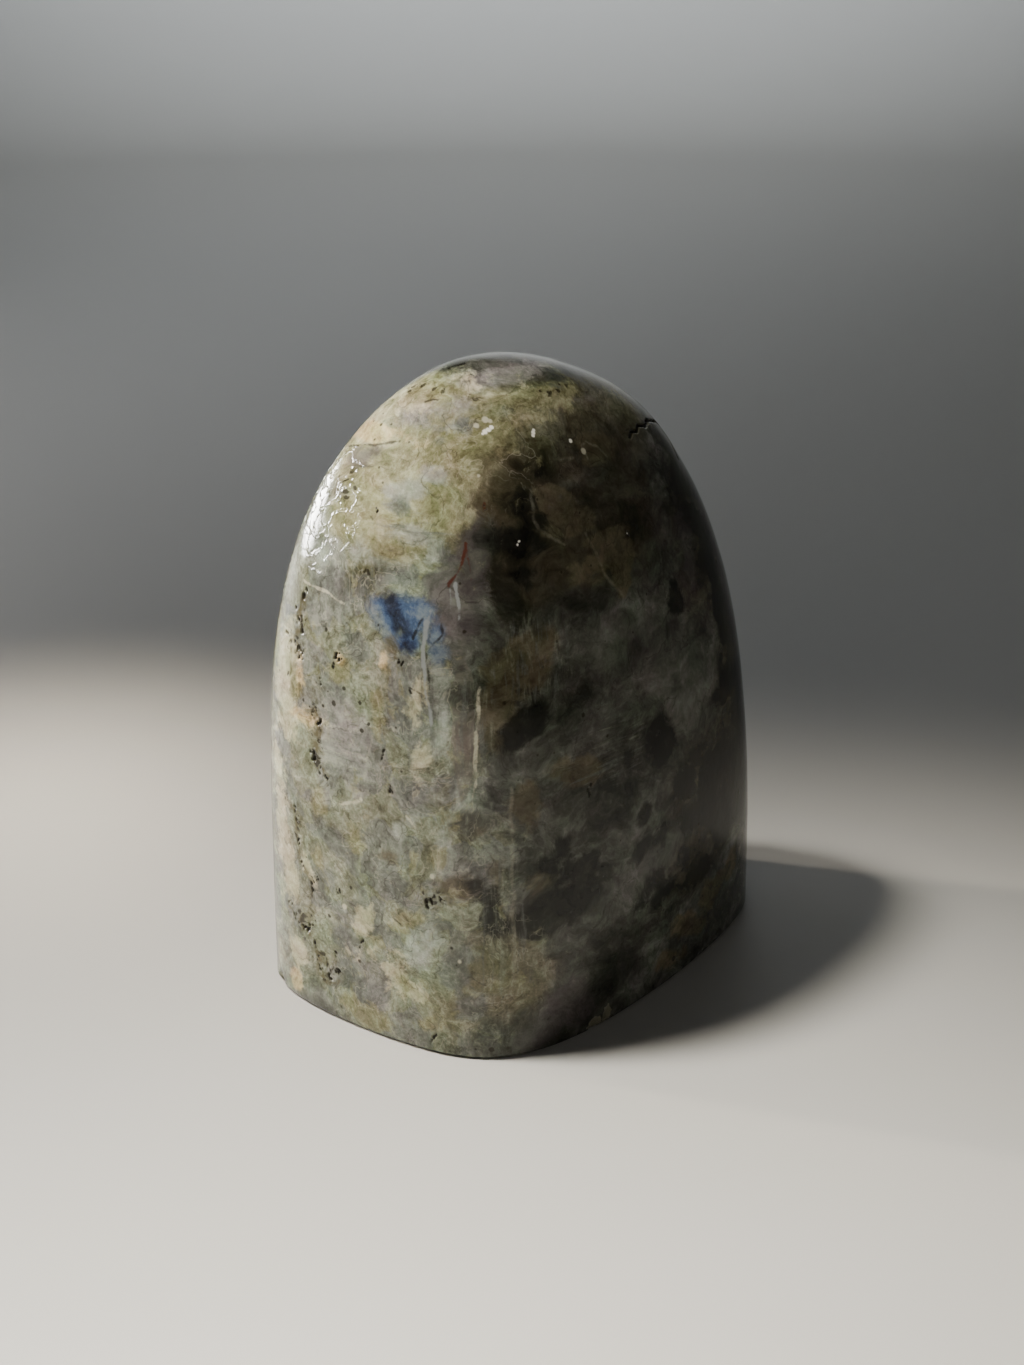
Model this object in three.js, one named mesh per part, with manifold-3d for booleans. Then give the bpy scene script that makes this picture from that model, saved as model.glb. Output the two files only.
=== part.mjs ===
// Cut-base labradorite: one natural stone, ground and polished to a leaning dome that stands on a sawn foot.
// Millimetres, +Z up. The origin is the middle of the foot, under the middle of the stone's box.
// The broad polished face looks along -Y and the narrow one along -X; the ridge between them faces -X-Y.
import * as THREE from "three";
import { mergeVertices } from "three/addons/utils/BufferGeometryUtils.js";
import Module from "manifold-3d";

// ---------------------------------------------------------------- driving dimensions

const HEIGHT = 100;

// The six gently bowed faces that the stone was ground on. bearing is the way a face looks, in degrees
// anticlockwise from +X; distance is its stand-off from the axis at the foot; bow is its radius in plan;
// fullness is how long it stays upright before it rounds over into the dome.
const FACES = [
  { name: "narrow", bearing: -172.5, distance: 33.3, bow: 155, fullness: 5.7 },
  { name: "ridge", bearing: -131.5, distance: 34.9, bow: 123, fullness: 3.6, turn: 6.7 },
  { name: "broad", bearing: -88.5, distance: 28.5, bow: 144, fullness: 2.7 },
  { name: "end", bearing: 9, distance: 43, bow: 106, fullness: 6.3 },
  { name: "back", bearing: 83, distance: 23.5, bow: 187, fullness: 3.4 },
  { name: "heel", bearing: 141, distance: 37.7, bow: 79, fullness: 5.5 },
];

// How tightly neighbouring faces meet: nearly sharp edges at the foot, melting together at the crown.
const CRISP_AT_FOOT = 13.8;
const SOFT_AT_CROWN = 2.85;
const SOFTENING = 1.2;

// The ridge swings round by its turn either way between these two shares of the height.
const TURN_FROM = 0.3;
const TURN_TO = 0.65;

// The crown leans away from over the middle of the foot.
const LEAN = { x: -5.6, y: -2.2 };

// Soft high and low places left by hand grinding: where they are, how far they reach and how much they rise.
const SWELLS = [
  { bearing: -12, height: 89, reach: 15, rise: 0.6 },
  { bearing: 72, height: 40, reach: 24, rise: -0.7 },
  { bearing: 118, height: 66, reach: 22, rise: -0.5 },
  { bearing: 20, height: 62, reach: 26, rise: 0.4 },
];
const HEART = new THREE.Vector3(0, 0, 40);

// The arris round the foot is rubbed to a small chamfer.
const ARRIS = 0.9;

// Open pits in the polish, as bearing, height and length. They run in chains along healed cracks.
const PITS = [
  // upper chain on the narrow face
  [164, 69, 1.7], [162, 65, 1.4], [164, 63, 1.9], [158, 61.5, 1.3], [161, 60.5, 1.1], [164, 59, 1.6],
  // middle chain
  [170, 51, 1.3], [172, 49, 1.9], [170, 43.5, 1.5], [172.5, 42, 1.3], [174, 41, 1.2],
  // lower chains, down to the foot
  [162.5, 33, 1.2], [162, 31.5, 1.4], [162, 28.5, 1.1], [163, 24.5, 1.3], [167.5, 22.5, 1.5], [168, 20, 1.3],
  [161, 15, 2.0], [164, 14, 1.7], [167, 11, 1.2], [168.5, 9.5, 1.9], [174, 10.5, 1.6], [173.5, 6.5, 1.7],
  // lone pits on the narrow face and its ridge
  [177, 59.5, 1.5], [-179.5, 56, 1.2], [-174.5, 54.5, 1.1], [-173.5, 50.5, 1.2], [-167.5, 47, 1.1],
  [-165, 42.5, 1.3], [-175.5, 14.5, 1.6], [-155.5, 25, 1.7], [-151.5, 25.5, 1.2], [-153.5, 6, 1.5],
  // broad face
  [-139.5, 82, 1.2], [-109, 40.5, 1.1], [-62, 71, 1.3],
  // end, back and heel
  [4, 33, 1.5], [1, 30.5, 1.3], [22, 58, 1.2], [66, 24, 1.4], [69, 27, 1.7], [73, 29, 1.2],
  [101, 54, 1.3], [128, 37, 1.5],
];
const PIT_NARROWNESS = 0.62;
const PIT_DEPTH = 0.38;
const PIT_LEAN = 25;

// The open crack over the shoulder at the broad face's far edge, from point to point.
const CRACK = [
  [-37, 87.2], [-31, 87], [-21.5, 86.6], [-15, 84.4], [-14.5, 82.2], [-18.5, 80.4],
];
const CRACK_WIDTH = 0.7;
const CRACK_DEPTH = 0.8;
const CRACK_OVERLAP = 1.35;

// Chips knocked out of the arris, as bearing, height, width, tallness and depth.
const CHIPS = [
  [-108, 0.8, 3.4, 3.2, 0.7],
  [-102, 1.6, 2.6, 3.6, 0.6],
  [151, 0.6, 2.6, 2.2, 0.6],
  [38, 0.5, 4.4, 2.6, 0.8],
  [96, 0.7, 2.8, 2.0, 0.6],
];

// Fineness of the mesh, and the step that a slope is measured over.
const AROUND = 84;
const RINGS = 30;
const RING_CROWDING = 0.9;
const PROBE = 0.2;

// ---------------------------------------------------------------- the ground and polished form

const radians = THREE.MathUtils.degToRad;

// How far the axis is from one bowed face along a bearing, at a share of the height.
function reachOf(face, bearing, level) {
  const turned = face.turn
    ? face.turn * (1 - 2 * THREE.MathUtils.smoothstep(level, TURN_FROM, TURN_TO))
    : 0;
  const shrink = Math.sqrt(1 - level ** face.fullness);
  const bow = face.bow * shrink;
  const centre = face.distance * shrink - bow;
  const off = bearing - radians(face.bearing + turned);
  const underRoot = bow ** 2 - (centre * Math.sin(off)) ** 2;
  const reach = centre * Math.cos(off) + Math.sqrt(Math.max(underRoot, 0));
  return underRoot > 0 && reach > 0 ? reach : Infinity;
}

// The middle of the stone at a height, which leans over towards the crown.
function axisAt(height) {
  const level = height / HEIGHT;
  return new THREE.Vector3(LEAN.x * level ** 2, LEAN.y * level ** 2, height);
}

// The stone's outside at a bearing in radians and a height: all six faces, blended where they meet.
function outside(bearing, height) {
  const level = height / HEIGHT;
  const reaches = FACES.map((face) => reachOf(face, bearing, level));
  const nearest = Math.min(...reaches);
  const crispness = THREE.MathUtils.lerp(CRISP_AT_FOOT, SOFT_AT_CROWN, level ** SOFTENING);
  const blend = reaches.reduce((sum, reach) => sum + (nearest / reach) ** crispness, 0);
  const radius = nearest / blend ** (1 / crispness);
  const outwards = new THREE.Vector3(Math.cos(bearing), Math.sin(bearing), 0);
  return axisAt(height).addScaledVector(outwards, radius);
}

const swells = SWELLS.map((swell) => ({
  ...swell,
  centre: outside(radians(swell.bearing), swell.height),
}));

// Moves a point of the outside in or out by the swells near it.
function swollen(point) {
  const outwards = point.clone().sub(HEART).normalize();
  for (const { centre, reach, rise } of swells) {
    const nearness = Math.max(1 - (point.distanceTo(centre) / reach) ** 2, 0) ** 2;
    point.addScaledVector(outwards, rise * nearness);
  }
  return point;
}

// Leaves one vertex at each corner of a geometry, with nothing but its position.
function plain(geometry) {
  geometry.deleteAttribute("normal");
  geometry.deleteAttribute("uv");
  return mergeVertices(geometry);
}

// A profile one unit wide turned about its Y axis, whose points are then stood up on Z and moved out to the
// ground faces.
function groundForm() {
  const rim = 1 - ARRIS / FACES[0].distance;
  const profile = [new THREE.Vector2(0, 0), new THREE.Vector2(rim, 0), new THREE.Vector2(1, ARRIS)];
  for (let ring = 1; ring < RINGS; ring += 1) {
    const rise = Math.sin((ring / RINGS) * (Math.PI / 2)) ** RING_CROWDING;
    profile.push(new THREE.Vector2(1, rise * HEIGHT));
  }
  profile.push(new THREE.Vector2(0, HEIGHT));
  const form = plain(new THREE.LatheGeometry(profile, AROUND));
  const points = form.attributes.position;
  for (let i = 0; i < points.count; i += 1) {
    const [east, height, south] = [points.getX(i), points.getY(i), points.getZ(i)];
    const share = Math.hypot(east, south);
    const placed = axisAt(height);
    if (share > 0) placed.lerp(swollen(outside(Math.atan2(-south, east), height)), share);
    points.setXYZ(i, placed.x, placed.y, placed.z);
  }
  return form;
}

// ---------------------------------------------------------------- pits, crack and chips

const wasm = await Module();
wasm.setup();

function solidOf(geometry) {
  return new wasm.Manifold(
    new wasm.Mesh({
      numProp: 3,
      vertProperties: geometry.attributes.position.array,
      triVerts: new Uint32Array(geometry.index.array),
    }),
  );
}

function geometryOf(solid) {
  const { vertProperties, triVerts } = solid.getMesh();
  const geometry = new THREE.BufferGeometry();
  geometry.setAttribute("position", new THREE.BufferAttribute(vertProperties, 3));
  geometry.setIndex(new THREE.BufferAttribute(triVerts, 1));
  geometry.computeVertexNormals();
  return geometry;
}

// The surface at a bearing in degrees and a height, with its outward normal and its way up.
function surfaceAt(bearing, height) {
  const at = (b, h) => swollen(outside(radians(b), h));
  const round = at(bearing + PROBE, height).sub(at(bearing - PROBE, height));
  const up = at(bearing, height + PROBE).sub(at(bearing, Math.max(height - PROBE, 0)));
  return { point: at(bearing, height), normal: round.cross(up).normalize(), up: up.normalize() };
}

// A cutter laid on the surface, its length running along one way and its depth biting inwards.
function scoop(form, { point, normal }, along, length, width, depth) {
  const side = new THREE.Vector3().crossVectors(normal, along).normalize();
  const ahead = new THREE.Vector3().crossVectors(side, normal);
  const lay = new THREE.Matrix4().makeBasis(ahead, side, normal).setPosition(point);
  return solidOf(form.clone().scale(length / 2, width / 2, depth).applyMatrix4(lay));
}

function pits(form) {
  return PITS.map(([bearing, height, length], i) => {
    const spot = surfaceAt(bearing, height);
    const lean = radians(i % 2 ? PIT_LEAN : -PIT_LEAN);
    const along = spot.up.clone().applyAxisAngle(spot.normal, lean);
    return scoop(form, spot, along, length, length * PIT_NARROWNESS, length * PIT_DEPTH);
  });
}

function crack(form) {
  return CRACK.slice(1).map(([bearing, height], i) => {
    const [fromBearing, fromHeight] = CRACK[i];
    const from = surfaceAt(fromBearing, fromHeight).point;
    const spot = surfaceAt((bearing + fromBearing) / 2, (height + fromHeight) / 2);
    const along = surfaceAt(bearing, height).point.sub(from);
    return scoop(form, spot, along, along.length() * CRACK_OVERLAP, CRACK_WIDTH, CRACK_DEPTH);
  });
}

function chips(form) {
  return CHIPS.map(([bearing, height, width, tallness, depth]) => {
    const spot = surfaceAt(bearing, height);
    return scoop(form, spot, spot.up, tallness, width, depth);
  });
}

// ---------------------------------------------------------------- the stone

const rounded = plain(new THREE.IcosahedronGeometry(1, 1));
const splintery = plain(new THREE.IcosahedronGeometry(1, 0));
const cutters = [...pits(rounded), ...crack(rounded), ...chips(splintery)];
const worn = solidOf(groundForm()).subtract(cutters.reduce((joined, cutter) => joined.add(cutter)));

const geometry = geometryOf(worn);
geometry.computeBoundingBox();
const middle = geometry.boundingBox.getCenter(new THREE.Vector3());
geometry.translate(-middle.x, -middle.y, 0);

const polished = new THREE.MeshStandardMaterial({ color: 0x6e6d60, roughness: 0.14, metalness: 0 });
const stone = new THREE.Mesh(geometry, polished);
stone.name = "stone";

const part = new THREE.Group();
part.name = "cut_base_labradorite";
part.add(stone);

export default part;
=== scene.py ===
"""Cut-base labradorite: one polished stone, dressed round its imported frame, on a plain pale floor."""

import math

import bmesh
import bpy
import numpy as np
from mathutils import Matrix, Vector


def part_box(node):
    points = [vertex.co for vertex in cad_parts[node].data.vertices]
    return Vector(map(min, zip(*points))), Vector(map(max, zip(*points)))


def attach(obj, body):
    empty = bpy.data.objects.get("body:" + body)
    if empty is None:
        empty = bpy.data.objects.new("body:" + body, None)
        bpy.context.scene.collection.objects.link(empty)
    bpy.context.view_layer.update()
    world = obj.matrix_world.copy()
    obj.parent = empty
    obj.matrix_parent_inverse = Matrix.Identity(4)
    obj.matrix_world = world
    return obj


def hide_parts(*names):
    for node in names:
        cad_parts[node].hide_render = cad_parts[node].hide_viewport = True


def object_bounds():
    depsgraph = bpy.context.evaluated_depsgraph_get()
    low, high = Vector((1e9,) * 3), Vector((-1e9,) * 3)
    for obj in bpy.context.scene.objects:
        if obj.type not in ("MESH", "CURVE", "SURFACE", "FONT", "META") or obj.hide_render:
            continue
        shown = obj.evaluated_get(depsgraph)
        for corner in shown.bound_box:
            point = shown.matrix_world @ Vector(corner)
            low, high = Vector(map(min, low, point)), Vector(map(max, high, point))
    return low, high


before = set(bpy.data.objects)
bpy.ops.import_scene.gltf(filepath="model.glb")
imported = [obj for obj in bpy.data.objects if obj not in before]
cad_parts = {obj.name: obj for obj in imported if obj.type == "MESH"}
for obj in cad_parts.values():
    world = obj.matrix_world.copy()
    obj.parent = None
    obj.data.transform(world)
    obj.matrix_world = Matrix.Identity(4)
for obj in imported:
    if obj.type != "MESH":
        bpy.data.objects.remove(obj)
cad_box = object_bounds()

# ------------------------------------------------------------------ driving dimensions, in millimetres

MM = 0.001
HEIGHT = 100.0

# The bowed faces that the stone was ground on: the way each looks in degrees anticlockwise from +X, its
# stand-off from the axis at the foot, its radius in plan, how long it stays upright, and how far it turns.
FACES = {
    "narrow": (-172.5, 33.3, 155, 5.7, 0),
    "ridge": (-131.5, 34.9, 123, 3.6, 6.7),
    "broad": (-88.5, 28.5, 144, 2.7, 0),
    "end": (9, 43, 106, 6.3, 0),
    "back": (83, 23.5, 187, 3.4, 0),
    "heel": (141, 37.7, 79, 5.5, 0),
}
CRISP_AT_FOOT, SOFT_AT_CROWN, SOFTENING = 13.8, 2.85, 1.2
TURN_FROM, TURN_TO = 0.3, 0.65
LEAN = np.array([-5.6, -2.2, 0])
ARRIS = 0.9

# Soft high and low places: bearing, height, reach and rise.
SWELLS = [(-12, 89, 15, 0.6), (72, 40, 24, -0.7), (118, 66, 22, -0.5), (20, 62, 26, 0.4)]
HEART = np.array([0, 0, 40.0])

# Open pits: bearing, height and length.
PITS = [
    # upper chain on the narrow face
    (162.3, 68.2, 1.9), (160, 65.5, 0.9), (163.5, 63, 1.8), (157.5, 61.4, 1.4), (161, 60.6, 1.0),
    (163.4, 59.1, 1.6), (164.4, 58, 0.9), (158.7, 55, 0.8),
    # middle chain
    (169.8, 51, 1.4), (171.5, 49.2, 1.8), (171.6, 47, 0.9), (169.5, 43.6, 1.7), (171.8, 42, 1.1),
    (173.5, 41, 1.1),
    # lower chains, down to the foot
    (158, 34.5, 1.0), (162, 33.5, 1.3), (162.2, 31.8, 1.4), (162.3, 28.6, 1.1), (162, 26, 0.8),
    (163.5, 24.6, 1.3), (167.3, 22.5, 1.5), (169, 23.3, 0.8), (167.5, 20.4, 1.4), (158, 16.2, 1.2),
    (159.5, 15, 1.5), (162.5, 13.8, 1.6), (164.5, 13.6, 1.9), (167, 14.4, 1.0), (167.5, 11.6, 1.3),
    (168.6, 9.8, 1.2), (169, 7.6, 1.3), (172.5, 6.6, 1.2), (175, 8.6, 1.4), (171.5, 9.2, 1.0),
    (174.8, 11.6, 1.1),
    # lone pits on the narrow face and its ridge
    (177.3, 60.5, 1.5), (176.2, 59, 1.2), (171.2, 56.2, 1.1), (176.5, 22.6, 1.1), (-167.5, 47.4, 1.2),
    (-165.2, 42.4, 1.1), (-163, 62, 1.3), (-160.3, 58.2, 1.0), (-176.3, 15.2, 1.4), (-155.3, 25.3, 1.9),
    (-153.8, 26.6, 1.0), (-152, 26.3, 1.1), (-154, 2.8, 1.4), (-178, 81.8, 0.9),
    # broad face
    (-108.5, 40.6, 1.3), (-69.6, 74.8, 0.8), (-138.4, 82.8, 0.8),
    # end, back and heel
    (4, 33, 1.5), (1, 30.5, 1.3), (22, 58, 1.2), (66, 24, 1.4), (69, 27, 1.7), (73, 29, 1.2),
    (101, 54, 1.3), (128, 37, 1.5),
]
PIT_NARROWNESS, PIT_DEPTH, PIT_LEAN = 0.62, 0.38, 25

# A pit's ragged bowl is several hollows: the fewest, how far they scatter as a share of its length, how much
# further up than along, and the smallest and largest as shares of its length.
FEWEST_HOLLOWS, SCATTER, UPWARD_SCATTER, HOLLOW_SIZES = 3, 0.22, 1.5, (0.35, 0.75)
RIM_RAGGEDNESS, RIM_PITCH = 0.22, 0.9

# The polish's unevenness, and the lengths of its long and its short waves.
UNEVENNESS, LONG_WAVE, SHORT_WAVE = 0.06, 23, 9

# The open crack over the shoulder, from point to point, and the chips in the foot's edge as bearing, height,
# width, tallness and depth.
CRACK = [
    (-40.6, 86.6), (-37, 87.2), (-34.4, 86.8), (-31, 87.3), (-27.6, 86.5), (-24, 86.9), (-20.6, 86),
    (-17.6, 85.6), (-15.4, 84.2), (-17.3, 83.5), (-17, 82.4), (-19.9, 81.6), (-21.9, 80),
]
CRACK_WIDTH, CRACK_DEPTH = 0.6, 0.7
CHIPS = [
    (-108, 0.7, 2.8, 2.6, 0.6), (-103, 1.5, 1.8, 3, 0.5), (151, 0.6, 2.6, 2.2, 0.6), (38, 0.5, 4.4, 2.6, 0.8),
    (96, 0.7, 2.8, 2.0, 0.6),
]
CHIP_SPREAD, CHIP_LEAN = 1.3, 15
# The low curved steps of a chip's scar: their height as a share of its depth, and how closely they follow.
SCAR_STEP, SCAR_STEPPING = 0.12, 22

# Fineness of the blank: strips along each side of its square plan, rows up its wall, the share of the arc
# where the wall gives way to the crown, and the heights of the extra rows that round the arris.
STRIPS, ROWS, WALL_SHARE = 64, 96, 0.62
ARRIS_ROWS = (0.08, 0.25, 0.5, 0.8)
RING_CROWDING = 0.9

# How near a line or a cut faces are halved, once for each margin, and once more beside the cuts alone.
MARGINS, LAST_MARGIN = (1.4, 0.5), 0.25

# The step that a slope is measured over, in degrees and in millimetres.
PROBE = 0.2


# ------------------------------------------------------------------ the ground form

def smoothstep(x):
    x = np.clip(x, 0, 1)
    return x * x * (3 - 2 * x)


def reach_of(face, bearing, level):
    """How far the axis is from one bowed face, along a bearing, at a share of the height."""
    looks, distance, bow, fullness, turn = FACES[face]
    turned = turn * (1 - 2 * smoothstep((level - TURN_FROM) / (TURN_TO - TURN_FROM)))
    shrink = np.sqrt(1 - level**fullness)
    centre = (distance - bow) * shrink
    off = bearing - np.radians(looks + turned)
    under_root = (bow * shrink) ** 2 - (centre * np.sin(off)) ** 2
    reach = centre * np.cos(off) + np.sqrt(np.clip(under_root, 0, None))
    return np.where((under_root > 0) & (reach > 0), reach, np.inf)


def outside(bearing, height):
    """Points of the stone's outside at bearings in radians and heights, one row each."""
    bearing, height = np.broadcast_arrays(np.atleast_1d(bearing), np.atleast_1d(height))
    level = np.clip(height / HEIGHT, 0, 1 - 1e-7)
    reaches = np.array([reach_of(face, bearing, level) for face in FACES])
    nearest = reaches.min(0)
    crispness = CRISP_AT_FOOT + (SOFT_AT_CROWN - CRISP_AT_FOOT) * level**SOFTENING
    radius = nearest / ((nearest / reaches) ** crispness).sum(0) ** (1 / crispness)
    rubbed = 1 - np.clip(height / ARRIS, 0, 1)
    radius = radius - ARRIS * (1 - np.sqrt(1 - rubbed**2))
    around = np.stack([np.cos(bearing), np.sin(bearing), 0 * bearing], -1)
    points = around * radius[:, None] + LEAN * level[:, None] ** 2
    points[:, 2] = height
    return points


def swollen(points):
    """The points pushed out, or in, by the soft swells."""
    outwards = points - HEART
    outwards /= np.linalg.norm(outwards, axis=1, keepdims=True)
    for bearing, height, reach, rise in SWELLS:
        centre = outside(math.radians(bearing), height)
        nearness = np.clip(1 - (np.linalg.norm(points - centre, axis=1) / reach) ** 2, 0, 1) ** 2
        points = points + outwards * (rise * nearness)[:, None]
    return points


def form_of(blank):
    """Where points of the unit dome lie on the stone."""
    away = np.linalg.norm(blank, axis=1)
    rise = np.clip(blank[:, 2] / away, 0, 1) ** RING_CROWDING
    return swollen(outside(np.arctan2(blank[:, 1], blank[:, 0]), rise * HEIGHT))


def surface_at(bearing, height):
    """The surface's point, outward normal, way along and way up at a bearing in degrees and a height."""
    bearings = np.radians([bearing, bearing + PROBE, bearing - PROBE, bearing, bearing])
    heights = [height, height, height, height + PROBE, max(height - PROBE, ARRIS)]
    point, ahead, behind, above, below = swollen(outside(bearings, np.array(heights, float)))
    along = (ahead - behind) / np.linalg.norm(ahead - behind)
    normal = np.cross(along, above - below)
    normal /= np.linalg.norm(normal)
    return point, normal, along, np.cross(normal, along)


def path_of(stations):
    """The points on the surface of a row of bearings and heights."""
    return np.array([surface_at(bearing, height)[0] for bearing, height in stations])


# ------------------------------------------------------------------ markings, placed by bearing and height

# Thin lines: half width, and the bearing and height of each station.
LINES = {
    # the forked vein below the flash, and the streaks beside it
    "slate_vein": [
        (0.36, (-154.8, 69.1), (-156.2, 66.5), (-156.6, 64), (-156.3, 61.5)),
        (0.2, (-156.3, 61.5), (-155.6, 58), (-154, 53)),
        (0.2, (-147.9, 73.3), (-147.2, 71.5), (-146.6, 68.6)),
        (0.14, (-149.4, 72.5), (-149.6, 69.4)),
    ],
    "pale_vein": [
        # the bright line of the ridge
        (0.26, (-141.4, 58.8), (-141.8, 55), (-142.5, 50), (-142.8, 47)),
        (0.12, (-142.8, 47), (-143, 45), (-143.3, 41)),
        # narrow face
        (0.24, (161, 70), (166, 69.7), (172, 69.3), (177.5, 68.2)),
        (0.2, (174, 36.7), (179, 37.8), (-174.5, 39.4)),
        (0.2, (161, 48), (164, 49.8), (169, 50.6)),
        (0.22, (-161, 38.6), (-158.6, 37.2)),
        # end and back
        (0.3, (74, 84), (80, 71), (77, 60)),
        (0.25, (112, 40), (104, 33), (101, 22)),
        (0.3, (18, 66), (12, 54), (15, 41)),
        (0.2, (46, 30), (60, 33), (72, 31)),
        (0.24, (128, 70), (122, 60), (124, 52)),
    ],
    # olive seams that the pits sit in
    "stain": [
        (0.4, (162.6, 67.6), (161.6, 65), (163.4, 63), (161, 61.4), (163.3, 59.6), (164.7, 57.6)),
        (0.35, (169.8, 51.4), (171.7, 49.2), (171.3, 46.8), (170, 44.4), (171.5, 42.6), (174.3, 41.3)),
        (0.4, (158.4, 34.8), (161.4, 33), (162.3, 28.7), (162.3, 25), (166.4, 22.5), (167.2, 20)),
        (0.5, (156.9, 15.8), (159.5, 15), (162.1, 14.5), (166.5, 12.4), (169, 9.6), (168.2, 7),
         (171.8, 6), (175, 7.2)),
        (0.4, (-167, 65), (-164.6, 62.8), (-162.6, 60.8)),
        (0.4, (63, 22), (68, 26), (74, 30)),
    ],
    # fainter lines, on the broad face and along the ridge
    "faint_vein": [
        (0.2, (-115.8, 85.2), (-117.9, 83.6), (-117.2, 82.2), (-119, 80.6), (-117.5, 79.2),
         (-112, 77.7), (-107.5, 76.4)),
        (0.2, (-94, 77), (-92, 74.3), (-90, 71), (-85.6, 68), (-82, 66.6)),
        (0.16, (-95, 86.9), (-90, 87.1), (-86, 87.2)),
        (0.18, (-76, 86.4), (-75.6, 88), (-70, 88.3), (-64, 87.2), (-62, 85.8)),
        (0.3, (-133.8, 44), (-133.8, 30), (-133.6, 13)),
        (0.16, (-174.5, 39.4), (-172.5, 45), (-170.6, 50)),
    ],
    "dark_seam": [
        # the outlines of the forked vein
        (0.17, (-153.8, 68.8), (-155.2, 66), (-155.6, 63.5), (-155.2, 61), (-154.4, 58.5)),
        (0.17, (-159.8, 65.5), (-157.8, 67.3), (-156.1, 68.6)),
        (0.18, (-152, 68.4), (-151.5, 66.3), (-154, 64.8), (-155.2, 63.6)),
        (0.12, (-157.2, 66.4), (-157.6, 64)),
        (0.16, (-160.3, 58.2), (-158.3, 57.8), (-156, 57.3)),
        (0.15, (-152.6, 62), (-150.4, 61.4)),
        # narrow face and dome
        (0.2, (152, 88.2), (160, 88.8), (168, 89.6), (175, 90.2), (180, 90.4)),
        (0.26, (-180, 95.4), (-176.5, 95.9), (-173, 95.9)),
        (0.22, (-179, 80.9), (-177.6, 80.5)),
        (0.16, (174, 9), (171, 6.9), (175, 5.9), (178, 7)),
        (0.14, (-165.4, 21.4), (-160.4, 20)),
        # broad face
        (0.18, (-139.4, 24.5), (-138.4, 22), (-137.6, 20.6)),
        (0.1, (-44, 87.5), (-38, 87.7)),
        # back
        (0.26, (58, 47), (70, 50), (79, 47)),
        (0.2, (96, 14), (104, 18), (116, 17)),
    ],
    "rust_seam": [
        (0.2, (-138.8, 83.4), (-140, 82.4), (-141.3, 81.4)),
        (0.22, (-145, 78.6), (-145.2, 77.6), (-146.8, 76), (-149.8, 73)),
        (0.13, (-145, 77.8), (-144.2, 75.4), (-143.8, 73.6)),
        (0.3, (93, 70), (99, 76), (97, 83)),
    ],
}

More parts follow.
